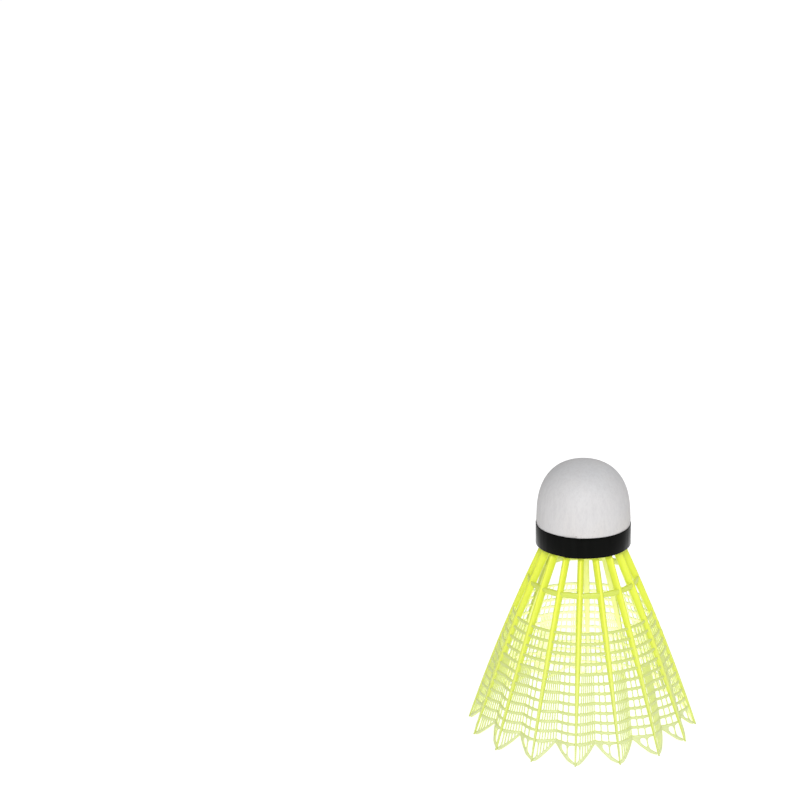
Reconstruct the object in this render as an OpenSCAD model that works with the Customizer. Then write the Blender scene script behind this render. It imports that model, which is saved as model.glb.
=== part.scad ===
// Synthetic badminton shuttlecock, standing on its sixteen hem tips with the head up.
// Millimetres. +Z is the axis, z = 0 is the circle of tips, and rib_01 faces -Y.
// Numbered ribs and net panels go anticlockwise seen from above; net_01 follows rib_01.

/* [Head] */
// Outer diameter of the tape band, the widest part of the head
tape_d = 27; // [25:0.1:28]
// Thickness of the adhesive tape
tape_t = 0.16; // [0.16:0.01:0.3]
// Thickness of the cover skin
cover_t = 0.62; // [0.3:0.02:1]
// Height of the head's flat underside above the tips
head_z = 55.4; // [52:0.1:60]
// Width of the tape band along the axis
tape_w = 6.2; // [4:0.1:8]
// Height at which the straight wall turns into the dome
dome_z = 63; // [60:0.5:66]
// Rise of the dome above its straight wall
dome_h = 16.4; // [13:0.1:19]
// Squareness of the dome, where 2 is an ellipse
dome_power = 2.45; // [2:0.05:3]

/* [Plug and ballast] */
// Outer diameter of the hollow plug
plug_d = 8; // [6.5:0.5:12]
// Length of the plug inside the head
plug_len = 11; // [9:0.5:14]
// Thickness of the plug's closed upper end
plug_end_t = 1; // [0.6:0.1:2]
// Diameter of the steel ballast pellet
ballast_d = 5; // [3:0.5:5.5]
// Length of the steel ballast pellet
ballast_len = 6; // [3:0.5:7]
// Thickness of the flange under the head
flange_t = 0.9; // [0.6:0.1:1.2]

/* [Skirt] */
// Number of ribs
rib_count = 16; // [12:1:18]
// Diameter of the circle of rib tips
tip_d = 66; // [58:1:68]
// Outward run of the ribs for each unit of drop, at the flange
flare = 0.449; // [0.38:0.001:0.48]
// How much less the ribs run out at the tips than at the flange
ease = 0.128; // [0:0.002:0.2]
// Width of a rib at its tip
rib_tip_w = 0.7; // [0.6:0.05:1.2]
// Width of a rib at the flange
rib_top_w = 1.9; // [1.4:0.1:2.4]
// Radial depth of a rib at its tip
rib_tip_t = 0.7; // [0.6:0.1:1.2]
// Radial depth of a rib at the flange
rib_top_t = 2.5; // [1.6:0.1:3.4]
// Height of the middle of the reinforcement ring
ring_z = 44.7; // [40:0.1:50]
// Width of the reinforcement ring along the axis
ring_w = 1.7; // [1:0.1:2.5]
// Radial thickness of the reinforcement ring
ring_t = 1; // [0.6:0.1:1.4]

/* [Net] */
// Height of the net's top edge
net_top_z = 35.3; // [30:0.1:38]
// Thickness of the net
net_t = 0.6; // [0.4:0.1:1]
// How far the net's outer face lies behind the ribs' outer face
net_inset = 0.4; // [0.1:0.05:0.6]
// Height of the hem between two tips
hem_rise = 5.4; // [3:0.2:8]
// Roundness of the petals along the hem, where 1 makes their edges straight
hem_power = 1.25; // [1:0.05:2]
// Where the pleat lies between two ribs, as a share of the way to the next rib
pleat_at = 0.47; // [0.3:0.01:0.7]
// Depth of the pleat at the level of the tips
pleat_depth = 3; // [0:0.1:4]
// Height at which the pleat runs out
pleat_top_z = 26; // [20:1:34]
// Roundness of the flanks between the ribs and the pleat, where 1 is flat
petal_power = 1.5; // [1:0.1:2]

/* [Hidden] */
rib_step = 360 / rib_count;
tape_r = tape_d / 2;
cover_r = tape_r - tape_t;
core_r = cover_r - cover_t;
plug_r = plug_d / 2;
ballast_r = ballast_d / 2;
ballast_z = head_z + plug_len - plug_end_t - ballast_len;
tape_overhang = 0.3;
tape_z = head_z - tape_overhang;
flange_z = head_z - flange_t;
skirt_top_r = tip_d / 2 - (flare - ease / 2) * flange_z;
cut = 1;
bore_facets = 48;
profile_steps = 24;
rib_steps = 12;
net_rows = 12;
seam = 0.02;
far = 60;
dome_facets = 96;

function two(n) = n < 10 ? str("0", n) : str(n);
function names(stem) = [for (k = [1 : rib_count]) str(stem, two(k))];

// Radius of the skirt's outer face at height z, on a line which steepens steadily towards the tips.
function skirt_r(z) = skirt_top_r + flare * (flange_z - z) - ease / 2 / flange_z * pow(flange_z - z, 2);
// A rib is nearly as wide as at the flange for most of its length, and narrows near its tip.
function rib_w(z) = rib_top_w - (rib_top_w - rib_tip_w) * pow(1 - z / flange_z, 2);
function rib_t(z) = rib_tip_t + (rib_top_t - rib_tip_t) * z / flange_z;

// Points of a dome's outline from its foot to its top, as a superellipse.
function dome_points(r, h) = [
    for (i = [0 : profile_steps])
        let (a = 90 * i / profile_steps)
        [r * pow(max(0, cos(a)), 2 / dome_power), dome_z + h * pow(max(0, sin(a)), 2 / dome_power)]
];

module dome_solid(r, h, foot_z) {
    rotate_extrude($fn = dome_facets)
        polygon(concat([[0, foot_z], [r, foot_z]], dome_points(r, h)));
}

module head_core() {
    color("burlywood")
        difference() {
            dome_solid(core_r, dome_h - cover_t, head_z);
            translate([0, 0, head_z - cut]) cylinder(h = plug_len + cut, r = plug_r, $fn = bore_facets);
        }
}

module head_cover() {
    color("gainsboro")
        difference() {
            dome_solid(cover_r, dome_h, head_z);
            dome_solid(core_r, dome_h - cover_t, head_z - cut);
        }
}

module tape_band() {
    color([0.05, 0.05, 0.05])
        translate([0, 0, tape_z])
            difference() {
                cylinder(h = tape_w, r = tape_r, $fn = dome_facets);
                translate([0, 0, -cut]) cylinder(h = tape_w + 2 * cut, r = cover_r, $fn = dome_facets);
            }
}

module ballast_weight() {
    color("silver")
        translate([0, 0, ballast_z]) cylinder(h = ballast_len, r = ballast_r, $fn = bore_facets);
}

// Hollow plug, open below and closed above the ballast.
module skirt_plug() {
    color([0.89, 0.94, 0.2])
        difference() {
            translate([0, 0, head_z]) cylinder(h = plug_len, r = plug_r, $fn = bore_facets);
            translate([0, 0, head_z - cut])
                cylinder(h = plug_len - plug_end_t + cut, r = ballast_r, $fn = bore_facets);
        }
}

module skirt_flange() {
    color([0.89, 0.94, 0.2])
        difference() {
            translate([0, 0, flange_z]) cylinder(h = flange_t, r = skirt_r(flange_z), $fn = dome_facets);
            translate([0, 0, flange_z - cut])
                cylinder(h = flange_t + 2 * cut, r = ballast_r, $fn = bore_facets);
        }
}

// Solid as wide as a rib at each height, which reaches out from the axis.
module rib_wedge() {
    rotate([90, 0, 0])
        linear_extrude(far)
            polygon([
                for (side = [-1, 1])
                    for (i = [0 : rib_steps])
                        let (z = flange_z * (side < 0 ? rib_steps - i : i) / rib_steps)
                        [side * rib_w(z) / 2, z]
            ]);
}

// Outline of a rib in its own radial plane, outer edge upwards and inner edge back down.
function rib_outline() = concat(
    [for (i = [0 : rib_steps]) let (z = flange_z * i / rib_steps) [skirt_r(z), z]],
    [for (i = [rib_steps : -1 : 0]) let (z = flange_z * i / rib_steps) [skirt_r(z) - rib_t(z), z]]
);

module rib(k) {
    color([0.89, 0.94, 0.2])
        rotate([0, 0, rib_step * (k - 1)])
            intersection() {
                rib_wedge();
                rotate([90, 0, -90]) linear_extrude(2 * rib_top_w, center = true) polygon(rib_outline());
            }
}

// The ring fills only the gaps between the ribs, so it is one arc for each gap.
module upper_ring() {
    color([0.87, 0.93, 0.3])
        difference() {
            rotate_extrude($fn = dome_facets)
                polygon([
                    for (edge = [[0, -1], [0, 1], [1, 1], [1, -1]])
                        let (z = ring_z + edge[1] * ring_w / 2)
                        [skirt_r(z) - net_inset - edge[0] * ring_t, z]
                ]);
            for (k = [1 : rib_count])
                rotate([0, 0, rib_step * (k - 1)]) rib_wedge();
        }
}

// A net panel runs in columns from rib to rib, and in rows from the hem up to the net's top edge.
net_columns = [0, pleat_at / 2, pleat_at, (1 + pleat_at) / 2, 1];
// How near a column is to the pleat, from 0 at the ribs to 1 at the pleat.
function to_pleat(u) = u < pleat_at ? u / pleat_at : (1 - u) / (1 - pleat_at);
// How far a column is folded in: each panel's two flanks are rounded, so a rib sits on a petal's crest.
function fold(u) = pow(to_pleat(u), petal_power);
function hem_z(u) = hem_rise * pow(to_pleat(u), hem_power);
function net_z(u, row) = hem_z(u) + (net_top_z - hem_z(u)) * row / net_rows;
function net_r(u, z) = skirt_r(z) - net_inset - pleat_depth * fold(u) * max(0, 1 - z / pleat_top_z);
function net_point(u, row, inward) =
    let (z = net_z(u, row))
    let (r = net_r(u, z) - inward)
    let (edge = asin((rib_w(z) / 2 + seam) / r))
    let (a = edge + u * (rib_step - 2 * edge))
    [r * sin(a), -r * cos(a), z];

module net(k) {
    columns = len(net_columns);
    layer = columns * (net_rows + 1);
    points = [
        for (inward = [0, net_t])
            for (row = [0 : net_rows])
                for (u = net_columns) net_point(u, row, inward)
    ];
    // Point number of a column and row, on the outer layer (0) or the inner one (1).
    function at(c, row, side) = side * layer + row * columns + c;
    outer = [
        for (row = [0 : net_rows - 1])
            for (c = [0 : columns - 2])
                [at(c, row, 0), at(c, row + 1, 0), at(c + 1, row + 1, 0), at(c + 1, row, 0)]
    ];
    inner = [
        for (row = [0 : net_rows - 1])
            for (c = [0 : columns - 2])
                [at(c, row, 1), at(c + 1, row, 1), at(c + 1, row + 1, 1), at(c, row + 1, 1)]
    ];
    rib_edges = [
        for (row = [0 : net_rows - 1])
            for (c = [0, columns - 1])
                c == 0
                    ? [at(c, row, 0), at(c, row, 1), at(c, row + 1, 1), at(c, row + 1, 0)]
                    : [at(c, row, 0), at(c, row + 1, 0), at(c, row + 1, 1), at(c, row, 1)]
    ];
    hem_and_top = [
        for (c = [0 : columns - 2])
            for (row = [0, net_rows])
                row == 0
                    ? [at(c, row, 0), at(c + 1, row, 0), at(c + 1, row, 1), at(c, row, 1)]
                    : [at(c, row, 0), at(c, row, 1), at(c + 1, row, 1), at(c + 1, row, 0)]
    ];
    color([0.9, 0.95, 0.55])
        rotate([0, 0, rib_step * (k - 1)])
            polyhedron(points, concat(outer, inner, rib_edges, hem_and_top), convexity = 4);
}

head_core();
head_cover();
tape_band();
ballast_weight();
skirt_plug();
skirt_flange();
upper_ring();
for (k = [1 : rib_count]) {
    rib(k);
    net(k);
}
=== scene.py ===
"""Looks of the synthetic badminton shuttlecock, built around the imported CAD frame."""
import math
import random

import bpy
from mathutils import Matrix, Vector


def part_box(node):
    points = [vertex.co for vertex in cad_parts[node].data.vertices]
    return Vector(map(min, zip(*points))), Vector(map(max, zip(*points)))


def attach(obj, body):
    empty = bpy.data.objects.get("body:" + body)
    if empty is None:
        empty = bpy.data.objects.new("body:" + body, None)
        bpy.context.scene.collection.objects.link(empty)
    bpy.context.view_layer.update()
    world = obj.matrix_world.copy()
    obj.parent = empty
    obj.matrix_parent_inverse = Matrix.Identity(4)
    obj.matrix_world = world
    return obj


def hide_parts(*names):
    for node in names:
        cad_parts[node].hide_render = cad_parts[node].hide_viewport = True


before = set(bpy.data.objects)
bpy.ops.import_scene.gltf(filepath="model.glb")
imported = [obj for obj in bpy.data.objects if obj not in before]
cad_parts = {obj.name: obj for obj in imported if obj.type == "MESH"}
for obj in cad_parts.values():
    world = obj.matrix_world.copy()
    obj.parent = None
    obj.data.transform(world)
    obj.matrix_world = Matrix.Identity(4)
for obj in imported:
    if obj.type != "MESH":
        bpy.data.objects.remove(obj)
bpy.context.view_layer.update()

BODY = "root"
MM = 0.001

# ---------------------------------------------------------------- sizes, in millimetres

RIB_COUNT = 16
STEP = math.radians(360 / RIB_COUNT)


def high(node):
    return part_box(node)[1] / MM


def low(node):
    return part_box(node)[0] / MM


# Read from the CAD frame.
TIP_R = -low("rib_01").y
FLANGE_Z = low("skirt_flange").z
FLANGE_TOP = high("skirt_flange").z
HEAD_Z = low("head_cover").z
HEAD_TOP = high("head_cover").z
COVER_R = high("head_cover").x
CORE_R = high("head_core").x
TAPE_R = high("tape_band").x
TAPE_LOW = low("tape_band").z
TAPE_HIGH = high("tape_band").z
RING_LOW = low("upper_ring").z
RING_HIGH = high("upper_ring").z
NET_TOP = high("net_01").z
RIB_TOP_W = 2 * high("rib_01").x

# The skirt's outer line: it flares from the flange and steepens steadily towards the tips.
FLARE = 0.449
EASE = 0.128
RIB_TIP_W = 0.7
RIB_TIP_T = 0.7
RIB_TOP_T = 2.5
RIB_END = 0.25

# Near its tip a rib is slimmer than its straight taper, and its nose is broader there.
RIB_SLIM_W, RIB_SLIM_W_BELOW = 0.64, 30
RIB_SLIM_T, RIB_SLIM_T_BELOW = 0.8, 12
NOSE_TIP, NOSE_TOP = 0.72, 0.40

# The net: rings from the top edge down to the hem's valleys, and a pleat between the ribs.
RING_COUNT = 12
COARSE_RINGS = 5
RING_PITCH = 2.635
RING_W = 0.78
RING_T = 0.72
RING_EDGE_T = RING_T * 0.7
RING_FLAT = 0.12
NET_INSET = 0.4
NET_T = 0.6
HEM_RISE = 5.4
HEM_POWER = 1.25
HEM_W = 0.95
HEM_FLOOR = 0.12
HEM_GAP = 0.06
PLEAT_AT = 0.47
PLEAT_DEPTH = 3.0
PLEAT_TOP = 26
PLEAT_SOFT = 0.05
PETAL_POWER = 1.5
FILAMENT_W = 0.36
FILAMENT_T = 0.42
FINE_FILAMENTS = 6
WIDE_FILAMENTS = 2
COARSE_FILAMENTS = 4

# The rows of a filament between two rings, as (share of the way down, thickness).
FILAMENT_ROWS = [(0.12, FILAMENT_T * 1.08), (0.5, FILAMENT_T), (0.88, FILAMENT_T * 1.08)]

# How far the net runs into the ribs: a share of a rib's width, and a little more.
TUCK_SHARE = 0.31
TUCK_MORE = 0.03

# A cell lower than this is closed. Points this near along two rows are joined straight.
SMALLEST_CELL = 0.12
SAME_SHARE = 0.012
PAST_END = 9

# The reinforcement ring between the ribs.
STRAND_DEPTH = 1.0
STRAND_BOW = 0.2
STRAND_SLIM = 0.8
STRAND_SQUARENESS = 0.6

# The dome of the head, a superellipse over a straight wall.
DOME_Z = 63
DOME_POWER = 2.45

# The skin lies just inside the CAD cover, so that its waves stay within the CAD box.
SKIN_INSET = 0.03
SKIN_FOOT = 0.05
POLE_RISE = 0.02
WAVE_COUNT = 7
WAVE_HEIGHT, WAVE_FADE_R = 0.06, 6
SWELL_HEIGHT, SWELL_ABOVE, SWELL_REACH = 0.07, 1.1, 0.9
PINCH_DEPTH, PINCH_REACH = 0.09, 0.35

# The tape: where its free end is, how far it laps, and how evenly it lies.
TAPE_START = math.radians(-4)
TAPE_LAP = math.radians(16)
TAPE_MARGIN = 0.09
TAPE_EDGE, TAPE_EDGE_DROP = 0.12, 0.05
TAPE_CROWN = 0.01
TAPE_SKEW = 0.16
TAPE_AIR = 0.005
LAP_AIR = 0.01
LAP_STEP_BEFORE, LAP_STEP_LENGTH = 0.05, 0.07


def skirt_r(z):
    top_r = TIP_R - (FLARE - EASE / 2) * FLANGE_Z
    return top_r + FLARE * (FLANGE_Z - z) - EASE / 2 / FLANGE_Z * (FLANGE_Z - z) ** 2


def blend(a, b, t):
    return a + (b - a) * t


def ramp(t):
    t = min(1, max(0, t))
    return t * t * (3 - 2 * t)


def rib_w(z):
    return RIB_TOP_W - (RIB_TOP_W - RIB_TIP_W) * (1 - z / FLANGE_Z) ** 2


def rib_t(z):
    return blend(RIB_TIP_T, RIB_TOP_T, z / FLANGE_Z)


def to_pleat(u):
    """How near u is to the pleat, from 0 at the ribs to 1 at the pleat, with a rounded crease."""
    rise, fall = u / PLEAT_AT, (1 - u) / (1 - PLEAT_AT)
    gap = rise - fall
    return max(0, (rise + fall - math.sqrt(gap * gap + PLEAT_SOFT ** 2)) / 2)


def fold(u):
    """How far the net is folded in at u, with rounded flanks."""
    return to_pleat(u) ** PETAL_POWER


def hem_z(u):
    return HEM_RISE * to_pleat(u) ** HEM_POWER


def net_r(u, z):
    return skirt_r(z) - NET_INSET - NET_T / 2 - PLEAT_DEPTH * fold(u) * max(0, 1 - z / PLEAT_TOP)


def on_net(k, u, z):
    """Point on the middle surface of net panel k, at the share u of the way from its rib to the next."""
    r = net_r(u, z)
    edge = math.asin((rib_w(z) / 2) / r)
    a = STEP * (k - 1) + edge + u * (STEP - 2 * edge)
    return Vector((r * math.sin(a), -r * math.cos(a), z))


def net_normal(k, u, z):
    along = on_net(k, u + 0.01, z) - on_net(k, u - 0.01, z)
    up = on_net(k, u, z + 0.1) - on_net(k, u, z - 0.1)
    return along.cross(up).normalized()


def panel_width(z):
    return STEP * (skirt_r(z) - NET_INSET) - rib_w(z)


# ---------------------------------------------------------------- meshes


def add_piece(name, points, faces, material, nodes, levels=0):
    """A piece of the object, from points in millimetres, which stands for its nodes."""
    mesh = bpy.data.meshes.new(name)
    mesh.from_pydata([Vector(p) * MM for p in points], [], faces)
    mesh.validate()
    mesh.materials.append(material)
    for polygon in mesh.polygons:
        polygon.use_smooth = True
    obj = bpy.data.objects.new(name, mesh)
    bpy.context.scene.collection.objects.link(obj)
    if levels:
        rounding = obj.modifiers.new("rounding", "SUBSURF")
        rounding.levels = rounding.render_levels = levels
    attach(obj, BODY)
    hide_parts(*nodes)
    return obj


def tube_faces(rings, sides, closed_ends=True):
    """Faces of a tube made of rings of points, with an end cap on each end."""
    faces = []
    for i in range(rings - 1):
        for j in range(sides):
            a, b = i * sides + j, i * sides + (j + 1) % sides
            faces.append((a, b, b + sides, a + sides))
    if closed_ends:
        faces.append(tuple(reversed(range(sides))))
        faces.append(tuple((rings - 1) * sides + j for j in range(sides)))
    return faces


def close_sheet(faces, count):
    """Turns the faces of an outer layer into a closed sheet whose inner points follow the outer ones."""
    edges = {}
    for face in faces:
        for a, b in zip(face, face[1:] + face[:1]):
            edges[(a, b)] = face
    inner = [tuple(count + v for v in reversed(face)) for face in faces]
    walls = [(b, a, count + a, count + b) for a, b in edges if (b, a) not in edges]
    return faces + inner + walls


# ---------------------------------------------------------------- materials


class Nodes:
    """A short way to write a node material."""

    def __init__(self, name):
        self.material = bpy.data.materials.new(name)
        self.material.use_nodes = True
        self.tree = self.material.node_tree
        self.shader = self.tree.nodes["Principled BSDF"]

    def add(self, kind, **values):
        node = self.tree.nodes.new(kind)
        for key, value in values.items():
            if key in node.inputs:
                node.inputs[key].default_value = value
            else:
                setattr(node, key, value)
        return node

    def link(self, a, b):
        self.tree.links.new(a, b)

    def place(self):
        """Position on the object, in millimetres."""
        scale = self.add("ShaderNodeVectorMath", operation="SCALE")
        scale.inputs["Scale"].default_value = 1 / MM
        self.link(self.add("ShaderNodeNewGeometry").outputs["Position"], scale.inputs[0])
        return scale.outputs[0]

    def stretched(self, x, y, z):
        mapping = self.add("ShaderNodeMapping")
        mapping.inputs["Scale"].default_value = (x, y, z)
        self.link(self.place(), mapping.inputs["Vector"])
        return mapping.outputs[0]

    def noise(self, vector, size, detail=3.0, roughness=0.5):
        node = self.add("ShaderNodeTexNoise", Scale=1 / size, Detail=detail, Roughness=roughness)
        self.link(vector, node.inputs["Vector"])
        return node.outputs["Fac"]

    def range(self, value, low_in, high_in, low_out=0.0, high_out=1.0):
        node = self.add("ShaderNodeMapRange")
        node.inputs["From Min"].default_value = low_in
        node.inputs["From Max"].default_value = high_in
        node.inputs["To Min"].default_value = low_out
        node.inputs["To Max"].default_value = high_out
        self.link(value, node.inputs["Value"])
        return node.outputs["Result"]

    def math(self, operation, a, b):
        node = self.add("ShaderNodeMath", operation=operation)
        for socket, value in zip(node.inputs, (a, b)):
            if isinstance(value, (int, float)):
                socket.default_value = value
            else:
                self.link(value, socket)
        return node.outputs[0]

    def mix(self, factor, a, b):
        node = self.add("ShaderNodeMix", data_type="RGBA")
        for socket, value in ((node.inputs[0], factor), (node.inputs[6], a), (node.inputs[7], b)):
            if isinstance(value, (int, float)):
                socket.default_value = value
            elif isinstance(value, tuple):
                socket.default_value = (*value, 1)
            else:
                self.link(value, socket)
        return node.outputs[2]

    def bump(self, height, strength, distance_mm):
        node = self.add("ShaderNodeBump", Strength=strength, Distance=distance_mm * MM)
        self.link(height, node.inputs["Height"])
        self.link(node.outputs["Normal"], self.shader.inputs["Normal"])

    def set(self, **values):
        for key, value in values.items():
            socket = self.shader.inputs[key.replace("_", " ")]
            if isinstance(value, bpy.types.NodeSocket):
                self.link(value, socket)
            else:
                socket.default_value = value


def skin_material():
    """Off-white synthetic leather: a very fine upright grain, warmer by the tape, with specks there."""
    m = Nodes("skin")
    place = m.place()
    strokes = m.noise(m.stretched(1, 1, 0.3), 0.30, 3, 0.55)
    wrinkles = m.noise(m.stretched(1, 1, 0.22), 0.9, 3, 0.6)
    patches = m.range(m.noise(place, 7.0, 3), 0.35, 0.65)
    height = m.math("ADD", m.math("MULTIPLY", strokes, 0.5), m.math("MULTIPLY", wrinkles, 0.6))
    parts = m.add("ShaderNodeSeparateXYZ")
    m.link(place, parts.inputs[0])
    warmth = m.range(parts.outputs["Z"], HEAD_TOP - 2, TAPE_HIGH)
    tone = m.mix(warmth, (0.520, 0.522, 0.534), (0.545, 0.523, 0.510))
    patchy = m.mix(patches, tone, (0.525, 0.517, 0.520))
    # Painted shade: the low parts of the grain are darkened.
    shaded = m.mix(m.range(height, 0.62, 0.40, 0.0, 0.5), patchy, (0.44, 0.43, 0.44))
    by_tape = m.range(parts.outputs["Z"], TAPE_HIGH + 3.5, TAPE_HIGH + 0.5)
    speck = m.range(m.noise(m.stretched(1, 1, 1.8), 0.5, 2, 0.4), 0.66, 0.74)
    grime = m.math("MULTIPLY", speck, m.range(by_tape, 0.0, 1.0, 0.0, 0.6))
    m.set(Base_Color=m.mix(grime, shaded, (0.25, 0.21, 0.19)))
    m.set(Roughness=m.range(m.noise(place, 2.2, 2), 0.3, 0.7, 0.52, 0.62))
    m.set(Specular_IOR_Level=0.3)
    m.bump(height, 0.35, 0.06)
    return m.material


def tape_material():
    """Glossy black vinyl, slightly uneven where it was pulled tight."""
    m = Nodes("tape")
    pull = m.noise(m.stretched(1, 1, 0.12), 2.2, 2)
    orange_peel = m.noise(m.place(), 0.35, 2)
    height = m.math("ADD", pull, m.math("MULTIPLY", orange_peel, 0.08))
    m.set(Base_Color=m.mix(m.range(pull, 0.3, 0.7), (0.0014, 0.0015, 0.0012), (0.0028, 0.0030, 0.0026)))
    m.set(Roughness=m.range(m.noise(m.place(), 1.2, 3), 0.3, 0.7, 0.16, 0.24))
    m.set(Specular_IOR_Level=0.05)
    m.bump(height, 0.6, 0.15)
    return m.material


def nylon_material(name, painted_glow, roughness, tones):
    """Fluorescent moulded nylon, with a painted emission. Each tone has its colour at the flange and its
    colour at the tips.

    Its colour by which way a face points is painted light and shade: a deeper tone painted on a strand's
    sides as their shade, and the palest tone painted on inside faces as the light coming through it.
    """
    m = Nodes(name)
    place = m.place()
    cloud = m.range(m.noise(place, 4.0, 3), 0.35, 0.65, 0.0, 0.15)
    fine = m.noise(place, 0.5, 3)
    parts = m.add("ShaderNodeSeparateXYZ")
    m.link(place, parts.inputs[0])
    drop = m.math("POWER", m.range(parts.outputs["Z"], FLANGE_Z, 0), 2)
    geometry = m.add("ShaderNodeNewGeometry")
    across = m.add("ShaderNodeVectorMath", operation="MULTIPLY")
    across.inputs[1].default_value = (1, 1, 0)
    m.link(geometry.outputs["Position"], across.inputs[0])
    outward = m.add("ShaderNodeVectorMath", operation="NORMALIZE")
    m.link(across.outputs[0], outward.inputs[0])
    facing = m.add("ShaderNodeVectorMath", operation="DOT_PRODUCT")
    m.link(geometry.outputs["Normal"], facing.inputs[0])
    m.link(outward.outputs[0], facing.inputs[1])
    # Painted light and shade: edge is a deeper tone painted on a strand's sides as shade, inner a pale
    # tone painted on inside faces as backlight.
    outer, edge, inner = (m.mix(drop, *tones[key]) for key in ("outer", "edge", "inner"))
    with_painted_side_shade = m.mix(m.range(facing.outputs["Value"], 0.75, 0.15), outer, edge)
    colour = m.mix(m.range(facing.outputs["Value"], -0.1, -0.7), with_painted_side_shade, inner)
    m.set(Base_Color=m.mix(cloud, colour, outer))
    m.set(Roughness=m.range(fine, 0.3, 0.7, roughness - 0.05, roughness + 0.07))
    m.set(Subsurface_Weight=0.3, Subsurface_Scale=0.6 * MM, Subsurface_Radius=(1.0, 1.0, 0.35))
    # Painted light: a constant emission that stands in for the nylon's fluorescence and lifts the shade
    # inside the skirt.
    m.set(Emission_Color=(0.88, 1.0, 0.34, 1), Emission_Strength=painted_glow)
    m.bump(m.math("ADD", m.math("MULTIPLY", fine, 0.3), m.noise(place, 2.0, 2)), 0.25, 0.08)
    return m.material


def cork_material():
    """Pressed cork granules."""
    m = Nodes("cork")
    place = m.place()
    granules = m.add("ShaderNodeTexVoronoi", Scale=1 / 1.6)
    m.link(place, granules.inputs["Vector"])
    grey = m.add("ShaderNodeSeparateColor")
    m.link(granules.outputs["Color"], grey.inputs[0])
    tone = m.mix(grey.outputs[0], (0.30, 0.17, 0.08), (0.52, 0.34, 0.18))
    m.set(Base_Color=m.mix(m.range(m.noise(place, 0.4, 3), 0.4, 0.7), tone, (0.40, 0.25, 0.13)))
    m.set(Roughness=m.range(m.noise(place, 0.8, 2), 0.3, 0.7, 0.8, 0.95))
    m.bump(granules.outputs["Distance"], 0.4, 0.2)
    return m.material


def steel_material():
    """Turned bare steel."""
    m = Nodes("steel")
    rings = m.add("ShaderNodeTexWave", wave_type="RINGS", rings_direction="Z", Scale=1.5, Distortion=0.6)
    m.link(m.place(), rings.inputs["Vector"])
    m.set(Base_Color=m.mix(m.noise(m.place(), 0.9, 3), (0.42, 0.42, 0.43), (0.56, 0.56, 0.57)))
    m.set(Metallic=1.0, Roughness=m.range(rings.outputs["Fac"], 0, 1, 0.28, 0.42))
    m.bump(rings.outputs["Fac"], 0.2, 0.02)
    return m.material


def floor_material():
    m = Nodes("floor")
    tone = m.range(m.noise(m.place(), 180.0, 2), 0.3, 0.7)
    m.set(Base_Color=m.mix(tone, (0.44, 0.44, 0.44), (0.46, 0.46, 0.46)), Roughness=0.7)
    m.set(Specular_IOR_Level=0.1)
    m.set(Emission_Color=(1, 1, 1, 1), Emission_Strength=0.78)
    return m.material


SKIN = skin_material()
TAPE = tape_material()
# In each set of tones, edge is painted shade on a strand's sides and inner is painted backlight on inside
# faces.
RIB_NYLON = nylon_material("rib_nylon", painted_glow=0.10, roughness=0.40, tones={
    "outer": [(0.61, 0.665, 0.02), (0.48, 0.53, 0.25)],
    "edge": [(0.52, 0.585, 0.012), (0.46, 0.52, 0.10)],
    "inner": [(0.80, 0.82, 0.28), (0.90, 0.92, 0.66)],
})
RING_NYLON = nylon_material("ring_nylon", painted_glow=0.10, roughness=0.44, tones={
    "outer": [(0.47, 0.54, 0.06), (0.47, 0.54, 0.10)],
    "edge": [(0.50, 0.565, 0.02), (0.50, 0.565, 0.02)],
    "inner": [(0.72, 0.76, 0.28), (0.72, 0.76, 0.40)],
})
NET_NYLON = nylon_material("net_nylon", painted_glow=0.22, roughness=0.44, tones={
    "outer": [(0.37, 0.415, 0.10), (0.43, 0.465, 0.27)],
    "edge": [(0.40, 0.455, 0.015), (0.42, 0.465, 0.10)],
    "inner": [(0.89, 0.91, 0.66), (0.91, 0.94, 0.60)],
})
CORK = cork_material()
STEEL = steel_material()


# ---------------------------------------------------------------- the head


def dome_outline(radius, top, steps, foot):
    """(radius, height) pairs from the foot of the wall to the top of the dome."""
    wall_steps = 8
    wall = [(radius, blend(foot, DOME_Z, i / wall_steps)) for i in range(wall_steps)]
    dome = []
    for i in range(steps):
        a = math.pi / 2 * i / steps
        dome.append((
            radius * math.cos(a) ** (2 / DOME_POWER),
            DOME_Z + (top - DOME_Z) * math.sin(a) ** (2 / DOME_POWER),
        ))
    return wall + dome


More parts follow.
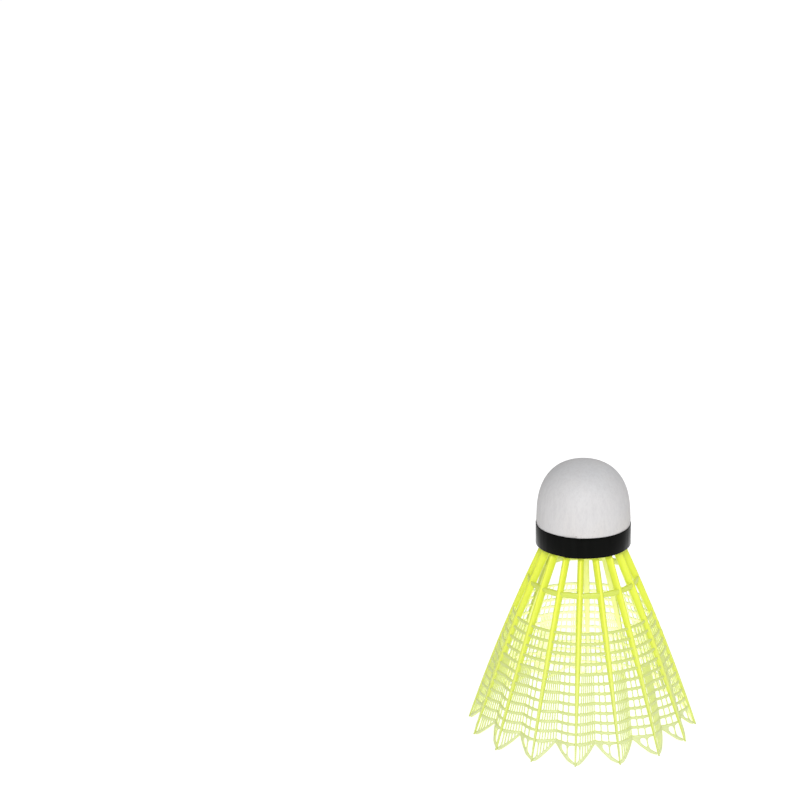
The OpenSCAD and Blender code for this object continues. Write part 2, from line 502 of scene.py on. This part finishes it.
def head_cover():
    """A thin skin pulled over the core. It swells a little above the tape and is never quite round."""
    around, up = 192, 72
    dice = random.Random(4)
    waves = [
        (dice.randint(2, 9), dice.uniform(0, 6.28), dice.uniform(0.05, 0.5))
        for _ in range(WAVE_COUNT)
    ]
    cover_t = COVER_R - CORE_R
    outer = dome_outline(COVER_R - SKIN_INSET, HEAD_TOP - SKIN_INSET, up, HEAD_Z)
    inner = dome_outline(CORE_R + SKIN_INSET, HEAD_TOP - cover_t, up, HEAD_Z + SKIN_FOOT)
    points, faces = [], []

    def layer(outline, rough):
        for r, z in outline:
            swell = SWELL_HEIGHT * math.exp(-((z - TAPE_HIGH - SWELL_ABOVE) / SWELL_REACH) ** 2)
            pinch = -PINCH_DEPTH * math.exp(-((z - TAPE_HIGH) / PINCH_REACH) ** 2)
            for j in range(around):
                a = 2 * math.pi * j / around
                wave = sum(math.sin(n * a + p + f * z) for n, p, f in waves) / len(waves)
                rr = r + rough * (WAVE_HEIGHT * wave * ramp(r / WAVE_FADE_R) + swell + pinch)
                points.append((rr * math.sin(a), -rr * math.cos(a), z))
        top = outline[-1][1] + POLE_RISE
        points.append((0, 0, top))
        return len(points) - 1

    rows = len(outer)
    pole = layer(outer, 1)
    start = len(points)
    inner_pole = layer(inner, 0)
    for i in range(rows - 1):
        for j in range(around):
            a, b = i * around + j, i * around + (j + 1) % around
            faces.append((a, b, b + around, a + around))
            faces.append((start + a, start + a + around, start + b + around, start + b))
    last = (rows - 1) * around
    for j in range(around):
        a, b = last + j, last + (j + 1) % around
        faces.append((a, b, pole))
        faces.append((start + b, start + a, inner_pole))
        a, b = j, (j + 1) % around
        faces.append((b, a, start + a, start + b))
    return add_piece("cover_skin", points, faces, SKIN, ["head_cover"])


def tape_band():
    """One turn of tape with a short overlap on the front, where its free end shows as a step."""
    thick = TAPE_R - COVER_R
    turns = 2 * math.pi + TAPE_LAP
    steps = 230
    section = 5
    points = []
    for i in range(steps + 1):
        t = i / steps
        a = TAPE_START - TAPE_LAP + turns * t
        over = ramp((turns * t - 2 * math.pi + LAP_STEP_BEFORE) / LAP_STEP_LENGTH)
        r_in = COVER_R + (thick + LAP_AIR) * over + TAPE_AIR
        r_out = r_in + thick
        skew = TAPE_SKEW * (t - 0.5) + 0.03 * math.sin(3 * a + 1) + 0.02 * math.sin(7 * a)
        lows, highs = TAPE_LOW + TAPE_MARGIN + skew, TAPE_HIGH - TAPE_MARGIN + skew
        outer = [
            (r_out - TAPE_EDGE_DROP, lows),
            (r_out, lows + TAPE_EDGE),
            (r_out + TAPE_CROWN, (lows + highs) / 2),
            (r_out, highs - TAPE_EDGE),
            (r_out - TAPE_EDGE_DROP, highs),
        ]
        inner = [(r_in, blend(highs, lows, j / (section - 1))) for j in range(section)]
        for r, z in outer + inner:
            points.append((r * math.sin(a), -r * math.cos(a), z))
    return add_piece(
        "tape_wrap", points, tube_faces(steps + 1, 2 * section), TAPE, ["tape_band"]
    )


# ---------------------------------------------------------------- the skirt


def rib(k):
    """A moulded rib: a narrow rounded nose outside, and widest near its inner face."""
    rows = 44
    points = []
    for i in range(rows + 1):
        z = blend(RIB_END, FLANGE_Z, i / rows)
        w = rib_w(z) / 2 * blend(RIB_SLIM_W, 1, ramp(z / RIB_SLIM_W_BELOW))
        t = rib_t(z) * blend(RIB_SLIM_T, 1, ramp(z / RIB_SLIM_T_BELOW))
        nose = blend(NOSE_TIP, NOSE_TOP, z / FLANGE_Z)
        half = [
            (0.0, 0.0),
            (nose * 0.65, -0.03),
            (nose, -0.11),
            (blend(nose, 1, 0.5), -0.30),
            (0.95, -0.55),
            (1.0, -0.80),
            (0.86, -0.97),
            (0.5, -1.0),
        ]
        section = half + [(-x, depth) for x, depth in reversed(half[1:])]
        turn = Matrix.Rotation(STEP * (k - 1), 3, "Z")
        points += [turn @ Vector((x * w, -(skirt_r(z) + depth * t), z)) for x, depth in section]
    faces = tube_faces(rows + 1, len(section))
    name = f"rib_{k:02d}"
    return add_piece(f"stem_{k:02d}", points, faces, RIB_NYLON, [name])


def column_lines(filaments, z, width):
    """Both edges of each filament at height z, between the panel's own edges, as shares of the panel."""
    half = width / 2 / panel_width(z)
    tuck = -(TUCK_SHARE * rib_w(z) + TUCK_MORE) / panel_width(z)
    return [tuck] + [x for u in filaments for x in (u - half, u + half)] + [1 - tuck]


def coarse_columns():
    return [j / (COARSE_FILAMENTS + 1) for j in range(1, COARSE_FILAMENTS + 1)]


def fine_columns():
    fine = [PLEAT_AT * j / (FINE_FILAMENTS + 1) for j in range(1, FINE_FILAMENTS + 1)]
    wide = [PLEAT_AT + (1 - PLEAT_AT) * j / (WIDE_FILAMENTS + 1) for j in range(1, WIDE_FILAMENTS + 1)]
    return fine + [PLEAT_AT] + wide


def zip_rows(upper, lower):
    """Joins two rows of (share, point) with triangles and quads, where their points don't match."""
    faces = []
    i = j = 0
    while i < len(upper) - 1 or j < len(lower) - 1:
        next_up = upper[i + 1][0] if i < len(upper) - 1 else PAST_END
        next_low = lower[j + 1][0] if j < len(lower) - 1 else PAST_END
        if abs(next_up - next_low) < SAME_SHARE:
            faces.append((lower[j][1], lower[j + 1][1], upper[i + 1][1], upper[i][1]))
            i, j = i + 1, j + 1
        elif next_up < next_low:
            faces.append((lower[j][1], upper[i + 1][1], upper[i][1]))
            i += 1
        else:
            faces.append((lower[j][1], lower[j + 1][1], upper[i][1]))
            j += 1
    return faces


def net_panel(k):
    """One panel of the net, as a closed sheet with an opening for every cell and a thick V-shaped hem."""
    rows = []  # each row is a list of (share, height, thickness)
    kinds = []  # what joins a row to the one above it: "solid", "cells" or "zip"
    rings = [NET_TOP - RING_W / 2 - RING_PITCH * i for i in range(RING_COUNT)]

    def row(columns, height, thickness, kind, width=FILAMENT_W):
        line = []
        for u in column_lines(columns, height(0.5), width):
            line.append((u, height(u), thickness))
        rows.append(line)
        kinds.append(kind)

    for i, z in enumerate(rings):
        coarse = i < COARSE_RINGS
        above = coarse_columns() if coarse else fine_columns()
        below = coarse_columns() if i < COARSE_RINGS - 1 else fine_columns()
        row(above, lambda u: z + RING_W / 2, RING_EDGE_T, "cells")
        row(above, lambda u: z + RING_W * RING_FLAT, RING_T, "solid")
        zipped = "zip" if above != below else "solid"
        row(below, lambda u: z - RING_W * RING_FLAT, RING_T, zipped)
        row(below, lambda u: z - RING_W / 2, RING_EDGE_T, "solid")
        if i < RING_COUNT - 1:
            gap = RING_PITCH - RING_W
            for share, thickness in FILAMENT_ROWS:
                row(below, lambda u: z - RING_W / 2 - gap * share, thickness, "cells")

    foot = rings[-1] - RING_W / 2

    def hem_low(u):
        return max(HEM_FLOOR, hem_z(u))

    def hem_top(u):
        return min(hem_low(u) + HEM_W * 1.1, foot - HEM_GAP)

    def hem_mid(u):
        return (hem_low(u) + hem_top(u)) / 2

    columns = fine_columns()
    hem_rows = 4
    row(columns, lambda u: blend(foot, hem_top(u), 0.5), FILAMENT_T * 1.1, "cells")
    row(columns, hem_top, RING_T * 0.75, "cells")
    row(columns, hem_mid, RING_T * 1.05, "solid")
    row(columns, hem_low, RING_T * 0.75, "solid")

    points, thin = [], []
    index = []
    for line in rows:
        ids = []
        for u, z, thickness in line:
            centre, normal = on_net(k, u, z), net_normal(k, u, z)
            ids.append((u, len(points)))
            points.append(centre + normal * thickness / 2)
            thin.append(centre - normal * thickness / 2)
        index.append(ids)

    faces = []
    for r in range(1, len(rows)):
        up, down, kind = index[r - 1], index[r], kinds[r]
        if kind == "zip":
            faces += zip_rows(up, down)
            continue
        for c in range(len(up) - 1):
            in_filament = c % 2 == 1
            gap = rows[r - 1][c][1] - rows[r][c][1]
            gap_next = rows[r - 1][c + 1][1] - rows[r][c + 1][1]
            closed = r >= len(rows) - hem_rows and min(gap, gap_next) < SMALLEST_CELL
            if kind == "solid" or in_filament or closed:
                faces.append((down[c][1], down[c + 1][1], up[c + 1][1], up[c][1]))
    closed_faces = close_sheet(faces, len(points))
    return add_piece(
        f"net_panel_{k:02d}",
        points + thin,
        closed_faces,
        NET_NYLON,
        [f"net_{k:02d}"],
        levels=1,
    )


def squarish(x):
    """Turns a circle's sine or cosine into that of a rounded square."""
    return math.copysign(abs(x) ** STRAND_SQUARENESS, x)


def upper_ring():
    """The reinforcement ring: one flat strand for each gap, slimmer just after its rib."""
    points, faces = [], []
    middle, half = (RING_LOW + RING_HIGH) / 2, (RING_HIGH - RING_LOW) / 2
    sides, steps = 12, 12
    for k in range(1, RIB_COUNT + 1):
        base = len(points)
        for i in range(steps + 1):
            u = blend(-0.1, 1.1, i / steps)
            stout = blend(STRAND_SLIM, 1, ramp((u - 0.1) / 0.35))
            h, t = half * stout, STRAND_DEPTH / 2 * stout
            bow = STRAND_BOW * fold(min(1, max(0, u)))
            r = skirt_r(middle) - NET_INSET - STRAND_DEPTH / 2 - bow
            a = STEP * (k - 1) + STEP * blend(0.04, 0.96, u)
            for j in range(sides):
                b = 2 * math.pi * (j + 0.5) / sides
                rr = r + t * squarish(math.cos(b))
                z = middle + h * squarish(math.sin(b))
                points.append((rr * math.sin(a), -rr * math.cos(a), z))
        faces += [tuple(base + v for v in face) for face in tube_faces(steps + 1, sides)]
    return add_piece("ring_strands", points, faces, RING_NYLON, ["upper_ring"])


def dress(node, material, bevel_mm=0.0):
    """Gives a CAD node its material, and softens its edges without changing its mesh."""
    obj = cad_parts[node]
    obj.data.materials.clear()
    obj.data.materials.append(material)
    if bevel_mm:
        softened = obj.modifiers.new("softened", "BEVEL")
        softened.width = bevel_mm * MM
        softened.segments = 2
        softened.limit_method = "ANGLE"
    return obj


# ---------------------------------------------------------------- the stage


def camera():
    """The camera looks past the shuttlecock, which stands low and to the right in the picture."""
    distance, elevation, azimuth = 0.9722, math.radians(21.43), math.radians(3.21)
    pan_left, tilt_up, roll = math.radians(3.08), math.radians(3.23), math.radians(0.45)
    target = Vector((0, 0, 0.040))
    back = Vector((
        math.sin(azimuth) * math.cos(elevation),
        -math.cos(azimuth) * math.cos(elevation),
        math.sin(elevation),
    ))
    data = bpy.data.cameras.new("camera")
    data.lens, data.sensor_width = 152.9, 36  # millimetres
    obj = bpy.data.objects.new("camera", data)
    bpy.context.scene.collection.objects.link(obj)
    straight = (-back).to_track_quat("-Z", "Y")
    sideways = Vector((math.tan(pan_left), -math.tan(tilt_up), -1)).normalized()
    aim = sideways.rotation_difference(Vector((0, 0, -1)))
    spin = Matrix.Rotation(roll, 4, "Z").to_quaternion()
    obj.rotation_mode = "QUATERNION"
    obj.rotation_quaternion = straight @ spin @ aim
    obj.location = target + back * distance
    data.clip_start, data.clip_end = 0.05, 20
    bpy.context.scene.camera = obj


def area_light(name, place, size, power):
    data = bpy.data.lights.new(name, "AREA")
    data.shape = "RECTANGLE"
    data.size, data.size_y = size
    data.energy = power
    obj = bpy.data.objects.new(name, data)
    obj.location = place
    obj.rotation_mode = "QUATERNION"
    obj.rotation_quaternion = (Vector((0, 0, 0.04)) - Vector(place)).to_track_quat("-Z", "Y")
    bpy.context.scene.collection.objects.link(obj)


def stage():
    ground = bpy.data.meshes.new("floor")
    reach, sides = 6.0, 96
    turns = [2 * math.pi * i / sides for i in range(sides)]
    rim = [(reach * math.cos(a), reach * math.sin(a), 0) for a in turns]
    ground.from_pydata(rim, [], [tuple(range(sides))])
    ground.materials.append(floor_material())
    floor = bpy.data.objects.new("floor", ground)
    bpy.context.scene.collection.objects.link(floor)
    world = bpy.data.worlds.new("studio")
    world.use_nodes = True
    sky = world.node_tree.nodes["Background"]
    sky.inputs["Color"].default_value = (1, 1, 1, 1)
    sky.inputs["Strength"].default_value = 0.36
    bpy.context.scene.world = world
    area_light("key_light", place=(0.05, -1.0, 0.70), size=(0.5, 0.5), power=11)
    area_light("right_light", place=(0.85, -0.45, 0.55), size=(0.3, 0.8), power=0.9)
    area_light("back_light", place=(0.2, 0.9, 0.7), size=(0.8, 0.5), power=2.5)


bpy.context.scene.view_settings.view_transform = "Standard"
camera()
stage()
head_cover()
tape_band()
for number in range(1, RIB_COUNT + 1):
    rib(number)
    net_panel(number)
upper_ring()
dress("skirt_flange", RIB_NYLON, 0.15)
dress("skirt_plug", RIB_NYLON)
dress("head_core", CORK)
dress("ballast_weight", STEEL, 0.2)
